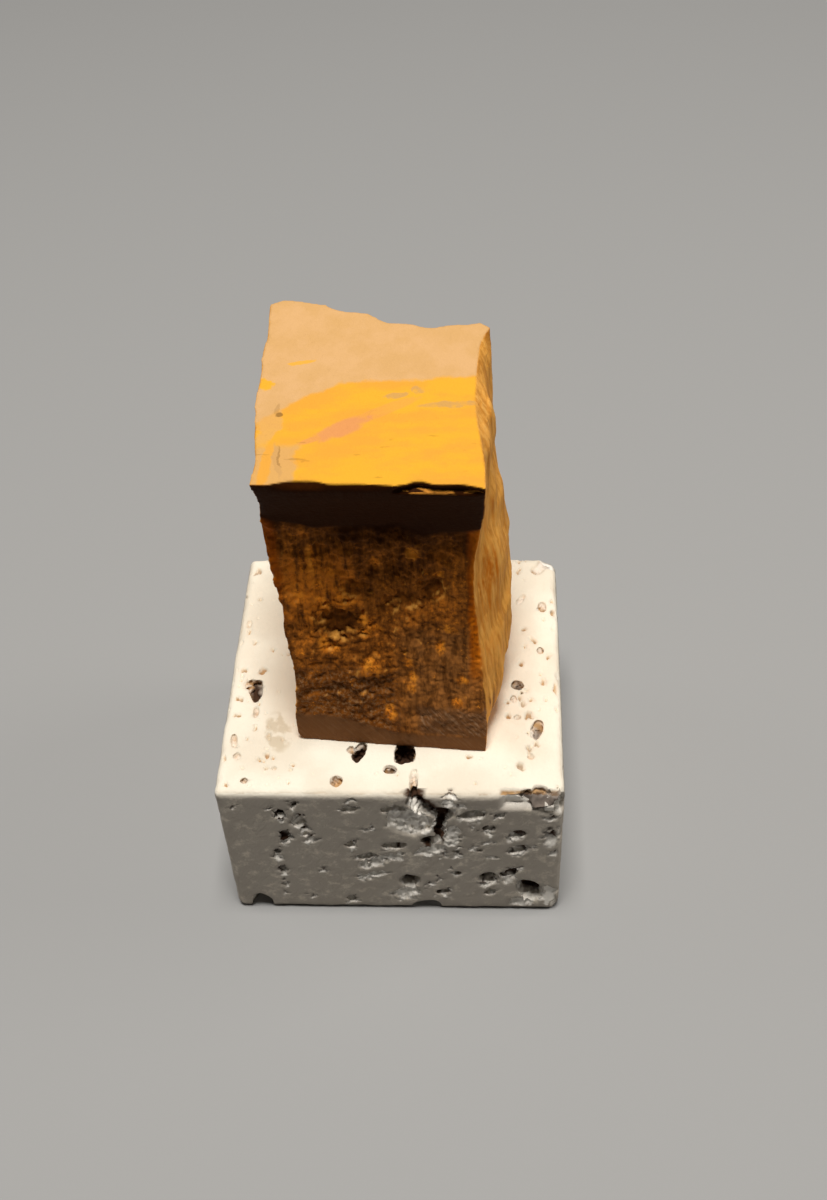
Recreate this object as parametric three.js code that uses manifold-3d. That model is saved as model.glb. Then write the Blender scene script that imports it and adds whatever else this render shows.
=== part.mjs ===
// Rough tiger's eye standing on a tumbled travertine block.
// Millimetres, +Z up. The origin is the middle of the block's underside, and -Y is the front.

import * as THREE from 'three';
import { mergeVertices } from 'three/addons/utils/BufferGeometryUtils.js';
import { RoundedBoxGeometry } from 'three/addons/geometries/RoundedBoxGeometry.js';
import { ImprovedNoise } from 'three/addons/math/ImprovedNoise.js';
import Module from 'manifold-3d';

// Travertine block, its outer size and the worn radius of its edges.
const BLOCK_WIDTH = 40;
const BLOCK_DEPTH = 38;
const BLOCK_HEIGHT = 24;
const EDGE_RADIUS = 0.9;
const EDGE_SEGMENTS = 2;

// Stone, measured at its front: it stands on the block and its top face rises to the back.
const STONE_HEIGHT = 40.3;
const STONE_FRONT_Y = -11.6;
const TOP_TILT = THREE.MathUtils.degToRad(5);

// Heights above the block where the front of the stone changes.
const BAND_TOP = 4.4;
const LEDGE_FOOT = 31;

// Relief of the broken faces: fibres run up and down, so their ridges are narrow and tall.
const RIDGE_SPACING = 2.3;
const RIDGE_LENGTH = 14;
const RIDGE_RELIEF = 0.5;
const RIDGE_LAYER = 0.5;
const LUMP_SPACING = 4.5;
const LUMP_RELIEF = 0.9;
const LUMP_LAYER = 8.5;
const SIDE_LANE = 50;
const SMOOTH_SHARE = 0.15;
const RIM_CALM = 3;

// Corner lines of the stone from the base up: height above the block, x, y.
const FRONT_LEFT = [
  [0, -10.3, -11.1],
  [1.2, -11.0, -11.0],
  [4.4, -10.8, -10.9],
  [11, -10.4, -10.4],
  [17, -11.2, -9.6],
  [20, -10.8, -9.4],
  [24, -11.6, -9.0],
  [31, -12.0, -8.7],
  [34.5, -11.8, -9.4],
  [36.5, -11.5, -10.3],
  [39.2, -11.8, -11.2],
  [40.3, -12.0, -11.5],
];
const FRONT_RIGHT = [
  [0, 11.0, -12.8],
  [4, 11.2, -12.4],
  [8, 11.0, -11.8],
  [16, 10.2, -10.4],
  [20, 9.9, -9.8],
  [27, 9.9, -9.2],
  [31, 10.5, -9.2],
  [36, 11.0, -10.6],
  [40.3, 11.1, -12.1],
];
const BACK_RIGHT = [
  [0, 11.6, 11.4],
  [14, 12.4, 12.0],
  [28, 11.7, 11.2],
  [40.3, 11.5, 11.0],
];
const BACK_LEFT = [
  [0, -11.0, 12.6],
  [12, -11.8, 13.4],
  [26, -11.5, 13.8],
  [38, -12.6, 15.0],
  [40.3, -12.3, 15.0],
];

// Broken outline of the top face between its corners: x, y, seen from above.
const FRONT_EDGE = [
  [-10.2, -11.6],
  [-8.9, -11.0],
  [-7.4, -10.7],
  [-5.3, -10.8],
  [-4.2, -11.4],
  [-1.1, -11.3],
  [3.2, -11.7],
  [3.8, -10.8],
  [4.9, -10.7],
  [6.2, -11.5],
  [8.7, -11.3],
];
const RIGHT_EDGE = [
  [10.9, -8.3],
  [10.1, -3.3],
  [9.8, 0.7],
  [10.0, 4.8],
  [10.4, 8.9],
];
const BACK_EDGE = [
  [11.0, 12.0],
  [8.6, 11.4],
  [7.4, 11.6],
  [5.7, 10.9],
  [4.5, 10.9],
  [3.3, 11.6],
  [0.2, 11.8],
  [-1.7, 13.3],
  [-4.7, 13.7],
  [-6.3, 14.8],
  [-8.0, 15.0],
  [-9.0, 15.5],
  [-11.5, 15.7],
];
const LEFT_EDGE = [
  [-12.1, 9.8],
  [-12.5, 7.0],
  [-12.2, 4.4],
  [-12.5, 0.0],
  [-11.9, -6.0],
  [-11.6, -8.4],
];

// How far down a side the broken outline of the top goes on. The front and the right lose it at
// once, and the back and the left keep most of it down to the base.
const FRONT_FADE = 0.9;
const RIGHT_FADE = 2.2;
const LONG_FADE = 60;

// Columns of each side, from corner to corner.
const FRONT_COLUMNS = 27;
const RIGHT_COLUMNS = 18;
const BACK_COLUMNS = 20;
const LEFT_COLUMNS = 15;

// How far the sides swell between their corners: height above the block, millimetres outwards.
// The right side overhangs its foot in a lip.
const FRONT_SWELL = [
  [0, 0],
  [4.4, 0],
  [12, -0.5],
  [22, -1.5],
  [28, -1.6],
  [33, -0.9],
  [38, 0],
];
const RIGHT_SWELL = [
  [0, -0.2],
  [2.6, 0.4],
  [3.4, 1.8],
  [6, 2.1],
  [14, 2.6],
  [20, 2.3],
  [23, 1.8],
  [29, 0.8],
  [36, 0.1],
];
const BACK_SWELL = [
  [0, 0],
  [16, 0.8],
  [30, 0.2],
];
const LEFT_SWELL = [
  [0, 0],
  [8, -0.2],
  [20, -0.9],
  [36, 0],
];

// The thin top sheet has split from the ledge along the right of the front edge.
const SPLIT_DEPTH = 0.9;
const SPLIT_START = 0.6;
const SPLIT_TOP = 39.9;
const SPLIT_MIDDLE = 39.5;
const SPLIT_FOOT = 39.1;

// Pores of the front face: x, z, width, height, lean in degrees.
const FRONT_PORES = [
  [-10.9, 22.1, 0.8, 0.8, 0],
  [-12.8, 20.4, 1.1, 1.1, 10],
  [-10.6, 18.2, 1.4, 1.7, -40],
  [-12.5, 16.1, 1.1, 1.4, -20],
  [-10.0, 15.8, 0.7, 1.4, -30],
  [-13.8, 12.4, 0.8, 1.0, 0],
  [-13.3, 8.3, 0.8, 1.2, 0],
  [-13.6, 5.2, 0.7, 0.9, 0],
  [-4.6, 21.0, 2.0, 1.0, 15],
  [-5.1, 13.8, 1.1, 1.2, 0],
  [0.4, 21.0, 2.6, 1.2, 10],
  [0.1, 13.8, 2.8, 1.2, 0],
  [-3.1, 11.4, 2.7, 1.1, 10],
  [6.9, 23.4, 1.0, 1.0, 0],
  [9.7, 20.2, 3.0, 1.4, 15],
  [12.6, 20.0, 1.2, 0.7, 0],
  [11.2, 17.4, 1.4, 1.0, 10],
  [14.7, 16.4, 1.9, 1.2, 20],
  [14.7, 13.2, 2.4, 1.1, 25],
  [7.5, 12.6, 1.3, 0.7, 15],
  [10.3, 12.9, 1.4, 0.7, 15],
  [7.5, 8.0, 1.3, 0.8, 20],
  [13.9, 8.2, 2.2, 1.2, 30],
  [11.5, 3.9, 1.3, 1.1, 0],
  [5.7, 3.8, 1.7, 0.9, 5],
  [-5.6, 2.2, 1.2, 1.3, 0],
];

// Deep openings of the front face: x, z, width, height, lean in degrees.
const FRONT_CAVITIES = [
  [16.4, 4.4, 2.5, 3.6, 20],
  [-16.8, 0.9, 2.3, 3.6, 0],
  [3.6, 0.3, 3.2, 2.8, 0],
  [1.8, 6.1, 2.4, 2.4, -15],
  [11.3, 6.9, 2.1, 1.9, 10],
];

// The crack opens at the front's top edge and runs down to the right: x, z, width, height, lean.
const FRONT_CRACK = [
  [3.0, 22.6, 1.9, 2.6, -20],
  [3.9, 21.4, 2.2, 3.0, 40],
  [6.1, 20.2, 3.0, 2.6, -30],
  [5.7, 17.6, 1.3, 3.6, -10],
  [4.6, 14.9, 2.8, 1.8, 10],
];
const CRACK_DEPTH = 2.4;
const CRACK_HOLLOW = [2.2, 18.4, 5.0, 3.8, -30];
const CRACK_HOLLOW_DEPTH = 0.9;

// Pores of the top face: x, y, width, length, turn in degrees.
const TOP_PORES = [
  [-4.6, -12.6, 1.2, 1.4, 0],
  [2.8, -17.4, 0.8, 3.6, 0],
  [0.1, -15.4, 1.5, 1.3, 0],
  [-6.0, -17.0, 1.4, 1.6, 30],
  [-16.6, -17.1, 1.2, 1.2, 0],
  [-13.3, -15.3, 0.8, 0.6, 0],
  [-11.4, -15.5, 0.9, 0.6, 0],
  [-18.4, -11.4, 0.7, 2.2, 10],
  [-17.8, -13.6, 0.9, 1.2, 0],
  [-16.3, -7.0, 0.6, 1.8, 0],
  [-16.7, -3.5, 1.5, 3.4, 10],
  [-18.7, 7.2, 0.6, 1.6, 0],
  [-16.8, 14.0, 0.8, 0.8, 0],
  [15.3, 11.4, 0.7, 2.0, -30],
  [18.0, 10.2, 1.0, 1.6, 0],
  [17.6, 2.8, 0.9, 1.4, 0],
  [14.8, -2.8, 1.5, 1.6, 0],
  [14.3, -4.8, 0.9, 1.3, 0],
  [14.7, -7.6, 1.0, 0.8, 0],
  [16.9, -9.5, 1.4, 3.0, -15],
  [16.2, -13.4, 0.8, 1.0, 0],
  [15.5, -14.9, 1.0, 0.8, 0],
];

// Deep openings of the top face that run in under the stone: x, y, width, length, turn in degrees.
const TOP_CAVITIES = [
  [-3.6, -13.0, 1.4, 2.6, -20],
  [1.6, -12.8, 2.0, 3.6, 5],
];

// Chips knocked off the block's edges and corners: x, y, z and radii.
const EDGE_CHIPS = [
  [16.6, -19.6, 24.5, 3.0, 2.0, 1.5],
  [19.8, -19.4, 22.0, 1.6, 1.6, 2.0],
  [17.2, -18.2, 24.0, 1.2, 1.0, 1.6],
  [20.1, -1.1, 24.1, 0.9, 1.6, 0.9],
  [19.9, 18.6, 24.2, 2.4, 2.6, 1.6],
  [17.6, 16.6, 24.3, 1.0, 1.2, 0.9],
  [19.6, 9.0, 24.2, 0.8, 1.4, 0.7],
  [20.3, -18.6, 16.5, 1.1, 1.6, 1.4],
  [20.2, -19.2, 13.4, 0.9, 0.9, 1.2],
  [20.1, -19.3, 1.0, 1.4, 1.4, 1.6],
  [-20.2, -19.0, 19.0, 0.8, 0.8, 1.2],
  [-20.1, -19.2, 11.5, 0.8, 0.8, 1.4],
  [-20.2, -19.3, 4.0, 0.9, 0.8, 1.2],
];

// The hidden faces are as porous as the front: pores to a face, their size and their lean.
const PORE_SEED = 11;
const HIDDEN_FACE_PORES = 14;
const HIDDEN_PORE_SMALL = 0.8;
const HIDDEN_PORE_LARGE = 3.2;
const BEDDING_LEAN = 12;
const FACE_MARGIN = 2.5;
const UNDERSIDE_PORES = 5;
const UNDERSIDE_RING = 13;

// Shape of every pore: its middle lies this share of its depth under the face, and its flat-faced
// body is a little larger than its opening.
const PORE_SINK = 0.25;
const PORE_FULLNESS = 1.22;
const CAVITY_DEPTH = 3;
const SMALL_PORE = 1.8;
const BIG_PORE = 3.9;
const LUMP_UNEVEN = 0.45;
const LUMP_ROUGHNESS = 1.7;

// Finish of the two pieces.
const TIGERS_EYE_COLOUR = 0xa8742c;
const TIGERS_EYE_ROUGHNESS = 0.5;
const TRAVERTINE_COLOUR = 0xe9dfcd;
const TRAVERTINE_ROUGHNESS = 0.9;

const wasm = await Module();
wasm.setup();

const noise = new ImprovedNoise();

// Value at x on a list of [x, value] rows, straight between them and level past the ends.
function interpolate(rows, x, column = 1) {
  if (x <= rows[0][0]) {
    return rows[0][column];
  }
  for (let i = 1; i < rows.length; i += 1) {
    const [before, after] = [rows[i - 1], rows[i]];
    if (x <= after[0]) {
      const share = (x - before[0]) / (after[0] - before[0]);
      return before[column] + share * (after[column] - before[column]);
    }
  }
  return rows[rows.length - 1][column];
}

// A closed mesh with shared vertices as a solid that can be joined and cut.
function toSolid(geometry) {
  geometry.deleteAttribute('normal');
  geometry.deleteAttribute('uv');
  const merged = mergeVertices(geometry);
  return new wasm.Manifold(new wasm.Mesh({
    numProp: 3,
    vertProperties: new Float32Array(merged.attributes.position.array),
    triVerts: new Uint32Array(merged.index.array),
  }));
}

function toGeometry(solid) {
  const mesh = solid.getMesh();
  const geometry = new THREE.BufferGeometry();
  geometry.setAttribute('position', new THREE.BufferAttribute(mesh.vertProperties, 3));
  geometry.setIndex(new THREE.BufferAttribute(mesh.triVerts, 1));
  return geometry;
}

// Top plane of the stone above a point of its plan.
function topHeight(y) {
  return BLOCK_HEIGHT + STONE_HEIGHT + Math.tan(TOP_TILT) * (y - STONE_FRONT_Y);
}

// Point of a corner line at a height.
function cornerAt(line, height) {
  return new THREE.Vector2(interpolate(line, height, 1), interpolate(line, height, 2));
}

// The outline between two corners as rows of share along and millimetres out from the straight.
function edgeRelief(edge, from, to) {
  const start = cornerAt(from, STONE_HEIGHT);
  const along = cornerAt(to, STONE_HEIGHT).sub(start);
  const length = along.length();
  along.normalize();
  const outwards = new THREE.Vector2(along.y, -along.x);
  const rows = edge.map(([x, y]) => {
    const offset = new THREE.Vector2(x, y).sub(start);
    return [offset.dot(along) / length, offset.dot(outwards)];
  });
  return [[0, 0], ...rows, [1, 0]];
}

function makeSide(from, to, edge, fadeDepth, swell, columns) {
  return { from, to, relief: edgeRelief(edge, from, to), fadeDepth, swell, columns };
}

const SIDES = [
  makeSide(FRONT_LEFT, FRONT_RIGHT, FRONT_EDGE, FRONT_FADE, FRONT_SWELL, FRONT_COLUMNS),
  makeSide(FRONT_RIGHT, BACK_RIGHT, RIGHT_EDGE, RIGHT_FADE, RIGHT_SWELL, RIGHT_COLUMNS),
  makeSide(BACK_RIGHT, BACK_LEFT, BACK_EDGE, LONG_FADE, BACK_SWELL, BACK_COLUMNS),
  makeSide(BACK_LEFT, FRONT_LEFT, LEFT_EDGE, LONG_FADE, LEFT_SWELL, LEFT_COLUMNS),
];

// Ridges and lumps of a broken face, less on the band and under the ledge of the front.
function brokenRelief(side, share, length, height) {
  const across = SIDES.indexOf(side) * SIDE_LANE + share * length;
  const ridges = noise.noise(across / RIDGE_SPACING, height / RIDGE_LENGTH, RIDGE_LAYER);
  const lumps = noise.noise(across / LUMP_SPACING, height / LUMP_SPACING, LUMP_LAYER);
  const calm = side === SIDES[0] && (height < BAND_TOP || height > LEDGE_FOOT);
  const amount = calm ? SMOOTH_SHARE : 1;
  const rim = Math.min(1, (STONE_HEIGHT - height) / RIM_CALM);
  const ends = Math.sqrt(Math.sin(Math.PI * share));
  return amount * rim * ends * (RIDGE_RELIEF * ridges + LUMP_RELIEF * lumps);
}

// The split under the top sheet, cut back between its upper and lower lips.
function splitRelief(side, share, height) {
  if (side !== SIDES[0] || share < SPLIT_START || height >= SPLIT_TOP || height <= SPLIT_FOOT) {
    return 0;
  }
  return -SPLIT_DEPTH;
}

// One ring of the stone, anticlockwise from above, at a height measured at its front.
function stoneRing(height) {
  const ring = [];
  for (const side of SIDES) {
    const start = cornerAt(side.from, height);
    const end = cornerAt(side.to, height);
    const along = end.clone().sub(start);
    const length = along.length();
    const outwards = new THREE.Vector2(along.y, -along.x).divideScalar(length);
    const fade = Math.max(0, 1 - (STONE_HEIGHT - height) / side.fadeDepth);
    for (let column = 0; column < side.columns; column += 1) {
      const share = column / side.columns;
      const out = fade * interpolate(side.relief, share)
        + interpolate(side.swell, height) * Math.sin(Math.PI * share)
        + brokenRelief(side, share, length, height)
        + splitRelief(side, share, height);
      const point = start.clone().addScaledVector(along, share).addScaledVector(outwards, out);
      const rise = (topHeight(point.y) - BLOCK_HEIGHT) * height / STONE_HEIGHT;
      ring.push(new THREE.Vector3(point.x, point.y, BLOCK_HEIGHT + rise));
    }
  }
  return ring;
}

// Heights of the rings: close together at the lip, the band, the ledge and the split.
const RING_HEIGHTS = [
  0, 0.9, 2.6, 3.4, 4.3, 5, 6.8, 8.8, 10.8, 12.8, 14.8, 16.8, 18.8, 20.8, 22.8, 24.8, 26.8, 28.8,
  30.8, 32.4, 34, 36, 37.8, SPLIT_FOOT, SPLIT_MIDDLE, SPLIT_TOP, STONE_HEIGHT,
];

// Rings of each flat face, from its rim in to its middle.
const CAP_SHARES = [0.8, 0.4];

function stoneGeometry() {
  const rings = RING_HEIGHTS.map(stoneRing);
  const top = rings[rings.length - 1];
  const centre = new THREE.Vector3();
  top.forEach((point) => centre.addScaledVector(point, 1 / top.length));
  for (const share of CAP_SHARES) {
    rings.push(top.map((point) => {
      const inner = centre.clone().lerp(point, share);
      inner.z = topHeight(inner.y);
      return inner;
    }));
  }
  const size = top.length;
  const positions = rings.flat().flatMap((point) => point.toArray());
  const base = rings[0].reduce((sum, point) => sum.addScaledVector(point, 1 / size), new THREE.Vector3());
  positions.push(centre.x, centre.y, topHeight(centre.y), base.x, base.y, BLOCK_HEIGHT);
  const topMiddle = rings.length * size;
  const baseMiddle = topMiddle + 1;
  const index = [];
  for (let row = 0; row + 1 < rings.length; row += 1) {
    for (let i = 0; i < size; i += 1) {
      const next = (i + 1) % size;
      const [a, b] = [row * size + i, row * size + next];
      const [c, d] = [a + size, b + size];
      index.push(a, b, d, a, d, c);
    }
  }
  const lastRow = (rings.length - 1) * size;
  for (let i = 0; i < size; i += 1) {
    const next = (i + 1) % size;
    index.push(lastRow + i, lastRow + next, topMiddle);
    index.push(next, i, baseMiddle);
  }
  const geometry = new THREE.BufferGeometry();
  geometry.setAttribute('position', new THREE.Float32BufferAttribute(positions, 3));
  geometry.setIndex(index);
  return geometry;
}

// A round body of unit radius with only as many faces as its size asks for.
function lumpShape(size) {
  if (size < SMALL_PORE) {
    return new THREE.OctahedronGeometry(1, 0);
  }
  return new THREE.IcosahedronGeometry(1, size < BIG_PORE ? 0 : 1);
}

// An uneven closed lump, the shape that a pore or a chip takes out of the block.
let lumpCount = 0;
function makeLump(centre, radii, leanAxis, lean) {
  lumpCount += 1;
  const shape = lumpShape(2 * Math.max(...radii.toArray()));
  const position = shape.attributes.position;
  const point = new THREE.Vector3();
  for (let i = 0; i < position.count; i += 1) {
    point.fromBufferAttribute(position, i);
    const spot = point.clone().multiplyScalar(LUMP_ROUGHNESS);
    const uneven = 1 + LUMP_UNEVEN * noise.noise(spot.x + lumpCount * LUMP_ROUGHNESS, spot.y, spot.z);
    point.multiplyScalar(uneven).multiply(radii);
    position.setXYZ(i, point.x, point.y, point.z);
  }
  shape.applyMatrix4(new THREE.Matrix4().makeRotationAxis(leanAxis, THREE.MathUtils.degToRad(lean)));
  shape.translate(centre.x, centre.y, centre.z);
  return toSolid(shape);
}

// The faces of the block that have pores, each with a way from its own across and up to the block's axes.
const halfWidth = BLOCK_WIDTH / 2;
const halfDepth = BLOCK_DEPTH / 2;
const FRONT_FACE = {
  place: (across, up, out) => new THREE.Vector3(across, -halfDepth - out, up),
  radii: (across, up, out) => new THREE.Vector3(across, out, up),
  axis: new THREE.Vector3(0, -1, 0),
};
const TOP_FACE = {
  place: (across, up, out) => new THREE.Vector3(across, up, BLOCK_HEIGHT + out),
  radii: (across, up, out) => new THREE.Vector3(across, up, out),
  axis: new THREE.Vector3(0, 0, 1),
};
const RIGHT_FACE = {
  place: (across, up, out) => new THREE.Vector3(halfWidth + out, across, up),
  radii: (across, up, out) => new THREE.Vector3(out, across, up),
  axis: new THREE.Vector3(1, 0, 0),
  reach: halfDepth,
};
const LEFT_FACE = {
  place: (across, up, out) => new THREE.Vector3(-halfWidth - out, -across, up),
  radii: (across, up, out) => new THREE.Vector3(out, across, up),
  axis: new THREE.Vector3(-1, 0, 0),
  reach: halfDepth,
};
const BACK_FACE = {
  place: (across, up, out) => new THREE.Vector3(-across, halfDepth + out, up),
  radii: (across, up, out) => new THREE.Vector3(across, out, up),
  axis: new THREE.Vector3(0, 1, 0),
  reach: halfWidth,
};

// A pore of a face, as deep as given or else as deep as its narrower opening.
function pore(face, [across, up, width, height, lean], depth = Math.min(width, height)) {
  const centre = face.place(across, up, -PORE_SINK * depth);
  const radii = face.radii(
    PORE_FULLNESS * width / 2,
    PORE_FULLNESS * height / 2,
    (1 - PORE_SINK) * depth,
  );
  return makeLump(centre, radii, face.axis, lean);
}

// Pores of a face that the front view hides, scattered over it along the bedding.
function hiddenPores(face) {
  const pores = [];
  for (let i = 0; i < HIDDEN_FACE_PORES; i += 1) {
    const across = between(FACE_MARGIN - face.reach, face.reach - FACE_MARGIN);
    const up = between(FACE_MARGIN, BLOCK_HEIGHT - FACE_MARGIN);
    const width = between(HIDDEN_PORE_SMALL, HIDDEN_PORE_LARGE);
    const height = between(HIDDEN_PORE_SMALL, HIDDEN_PORE_SMALL + width / 2);
    pores.push(pore(face, [across, up, width, height, between(-BEDDING_LEAN, BEDDING_LEAN)]));
  }
  return pores;
}

function undersidePores() {
  const pores = [];
  for (let i = 0; i < UNDERSIDE_PORES; i += 1) {
    const angle = (i + between(0, 0.5)) / UNDERSIDE_PORES * 2 * Math.PI;
    const centre = new THREE.Vector3(Math.cos(angle) * UNDERSIDE_RING, Math.sin(angle) * UNDERSIDE_RING, 0);
    const size = between(HIDDEN_PORE_SMALL, HIDDEN_PORE_LARGE) / 2;
    pores.push(makeLump(centre, new THREE.Vector3(size, size, HIDDEN_PORE_SMALL), TOP_FACE.axis, 0));
  }
  return pores;
}

function between(low, high) {
  return low + (high - low) * THREE.MathUtils.seededRandom();
}

function blockGeometry() {
  const box = new RoundedBoxGeometry(BLOCK_WIDTH, BLOCK_DEPTH, BLOCK_HEIGHT, EDGE_SEGMENTS, EDGE_RADIUS);
  box.translate(0, 0, BLOCK_HEIGHT / 2);
  THREE.MathUtils.seededRandom(PORE_SEED);
  const openings = [
    ...FRONT_PORES.map((row) => pore(FRONT_FACE, row)),
    ...FRONT_CAVITIES.map((row) => pore(FRONT_FACE, row, CAVITY_DEPTH)),
    ...FRONT_CRACK.map((row) => pore(FRONT_FACE, row, CRACK_DEPTH)),
    pore(FRONT_FACE, CRACK_HOLLOW, CRACK_HOLLOW_DEPTH),
    ...TOP_PORES.map((row) => pore(TOP_FACE, row)),
    ...TOP_CAVITIES.map((row) => pore(TOP_FACE, row, CAVITY_DEPTH)),
    ...EDGE_CHIPS.map(([x, y, z, ...radii]) => makeLump(
      new THREE.Vector3(x, y, z),
      new THREE.Vector3(...radii),
      TOP_FACE.axis,
      0,
    )),
    ...hiddenPores(RIGHT_FACE),
    ...hiddenPores(LEFT_FACE),
    ...hiddenPores(BACK_FACE),
    ...undersidePores(),
  ];
  return toGeometry(openings.reduce((block, opening) => block.subtract(opening), toSolid(box)));
}

function namedMesh(name, geometry, colour, roughness) {
  const material = new THREE.MeshStandardMaterial({ color: colour, roughness, metalness: 0, flatShading: true });
  const mesh = new THREE.Mesh(geometry, material);
  mesh.name = name;
  return mesh;
}

const group = new THREE.Group();
group.add(namedMesh('travertine_block', blockGeometry(), TRAVERTINE_COLOUR, TRAVERTINE_ROUGHNESS));
group.add(namedMesh('tigers_eye', stoneGeometry(), TIGERS_EYE_COLOUR, TIGERS_EYE_ROUGHNESS));

export default group;
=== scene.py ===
import math

import bmesh
import bpy
from mathutils import Matrix, Vector, noise


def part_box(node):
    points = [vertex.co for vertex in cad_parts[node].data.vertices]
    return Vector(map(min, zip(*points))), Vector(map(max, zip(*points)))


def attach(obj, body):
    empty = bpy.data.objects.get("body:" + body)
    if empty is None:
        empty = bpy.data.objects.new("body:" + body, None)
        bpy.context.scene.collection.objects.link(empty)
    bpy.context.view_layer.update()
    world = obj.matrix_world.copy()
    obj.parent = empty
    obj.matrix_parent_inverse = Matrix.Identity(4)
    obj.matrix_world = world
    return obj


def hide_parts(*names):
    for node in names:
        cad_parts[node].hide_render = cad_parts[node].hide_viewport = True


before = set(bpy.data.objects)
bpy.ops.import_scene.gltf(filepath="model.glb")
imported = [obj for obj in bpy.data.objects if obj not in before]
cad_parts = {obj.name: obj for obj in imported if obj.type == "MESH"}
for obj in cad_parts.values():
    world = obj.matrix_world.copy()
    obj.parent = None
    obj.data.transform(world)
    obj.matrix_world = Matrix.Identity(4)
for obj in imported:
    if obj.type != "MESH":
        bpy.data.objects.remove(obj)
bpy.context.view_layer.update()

# Travertine block: a small cube of cream travertine, sawn and then tumbled until its edges are
# round and its skin is matt. Its sides are painted greyer than its top as shade. The pores of the
# rock are open on every face: stained tan on the top, white inside on the sides as painted light on
# their lit lower walls, and painted brown as shade where they run deep.

BLOCK = "travertine_block"
MM = 0.001
BLOCK_VOXEL = 0.17 * MM
MOST_TRIANGLES = 192000
HALF_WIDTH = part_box(BLOCK)[1].x / MM
HALF_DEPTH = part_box(BLOCK)[1].y / MM
BLOCK_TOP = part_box(BLOCK)[1].z / MM


def fine_copy(node, name, voxel):
    """A piece of even, fine faces with the form of a solid."""
    piece = bpy.data.objects.new(name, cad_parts[node].data.copy())
    bpy.context.scene.collection.objects.link(piece)
    shell = bmesh.new()
    shell.from_mesh(piece.data)
    bmesh.ops.remove_doubles(shell, verts=shell.verts, dist=MM / 1000)
    shell.to_mesh(piece.data)
    shell.free()
    remesh = piece.modifiers.new("even", "REMESH")
    remesh.mode = "VOXEL"
    remesh.voxel_size = voxel
    bake_modifiers(piece)
    return piece


def bake_modifiers(piece):
    """Puts the result of a piece's modifiers into its mesh."""
    graph = bpy.context.evaluated_depsgraph_get()
    made = bpy.data.meshes.new_from_object(piece.evaluated_get(graph))
    piece.modifiers.clear()
    piece.data = made
    made.name = piece.name
    made.polygons.foreach_set("use_smooth", [True] * len(made.polygons))


def thin_out(piece, most):
    """Drops faces where they matter least, down to a number of triangles."""
    triangles = sum(len(face.vertices) - 2 for face in piece.data.polygons)
    if triangles > most:
        decimate = piece.modifiers.new("thin", "DECIMATE")
        decimate.ratio = most / triangles
        bake_modifiers(piece)


def relax(piece, rounds, free):
    """Smooths the vertices for which free is true."""
    shell = bmesh.new()
    shell.from_mesh(piece.data)
    verts = [vert for vert in shell.verts if free(vert.co / MM)]
    for _ in range(rounds):
        bmesh.ops.smooth_vert(
            shell, verts=verts, factor=0.5, use_axis_x=True, use_axis_y=True, use_axis_z=True
        )
    shell.to_mesh(piece.data)
    shell.free()


def points_and_normals(piece):
    """Each vertex's place in millimetres, with the way that the surface faces there."""
    return [(vert.co / MM, vert.normal.copy()) for vert in piece.data.vertices]


def place_verts(piece, points):
    """Puts every vertex of a piece at its place in millimetres."""
    piece.data.vertices.foreach_set("co", [part * MM for point in points for part in point])
    piece.data.update()


def smoothstep(low, high, value):
    """0 at low, 1 at high and smooth between. Low may be the larger of the two."""
    share = min(1.0, max(0.0, (value - low) / (high - low)))
    return share * share * (3 - 2 * share)


def store(piece, name, values):
    """Keeps one number for each vertex on the mesh, for its material to read."""
    field = piece.data.attributes.new(name, "FLOAT", "POINT")
    field.data.foreach_set("value", values)


def gaps(point):
    """How far a point lies in from the block's faces, in millimetres, the nearest face first."""
    to_side = HALF_WIDTH - abs(point.x)
    to_front_or_back = HALF_DEPTH - abs(point.y)
    return sorted((to_side, to_front_or_back, BLOCK_TOP - point.z, point.z))


def inside(point):
    """How far a point lies in from the nearest face of the block."""
    return gaps(point)[0]


def wear_room(point):
    """How far a point of the skin is from the nearest edge of the block."""
    return gaps(point)[1]


# Millimetres in from a face that count as its skin, and how far back the front's cavities reach.
FRONT_SKIN = 1
TOP_SKIN = 0.6
FRONT_CAVITIES = 3


def on_front(point):
    """Whether a point is on the skin of the front."""
    return HALF_DEPTH + point.y < FRONT_SKIN


def by_front(point):
    """Whether a point is as near the front as the cavities that open on it."""
    return point.y < FRONT_CAVITIES - HALF_DEPTH


def on_top(point):
    """Whether a point is on the skin of the top."""
    return BLOCK_TOP - point.z < TOP_SKIN


def splinters(point, across, up, seed):
    """Steps between splinters of the given width and height, from -1 to 1."""
    _, centres = noise.voronoi(Vector((point.x / across, point.y / across, point.z / up + seed)))
    return noise.noise(centres[0] * 3.7)


def crowding(point):
    """How porous the rock is at a point. The top has most pores near its left and right edges."""
    cloud = noise.noise(point / 6 + Vector((2, 9, 4)))
    if on_top(point):
        by_edge = smoothstep(8.5, 3, HALF_WIDTH - abs(point.x))
        return 0.45 * cloud - 0.27 + 0.2 * by_edge
    return 0.5 * cloud - 0.06


SMALL_PORE_DEPTH = 0.9
BEDDING_SLOPE = 0.2


def pore_depth(point):
    """How deep the small pores go, in millimetres. They are long across, along the bedding."""
    bedding = Vector((point.x, point.y, 1.8 * (point.z - BEDDING_SLOPE * point.x)))
    if on_top(point):
        bedding = Vector((1.7 * point.x, point.y, point.z))
    shape = noise.noise(bedding / 1.4) + 0.45 * noise.noise(bedding / 0.6 + Vector((5, 5, 5)))
    return SMALL_PORE_DEPTH * smoothstep(0.38, 0.62, shape + crowding(point))


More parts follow.
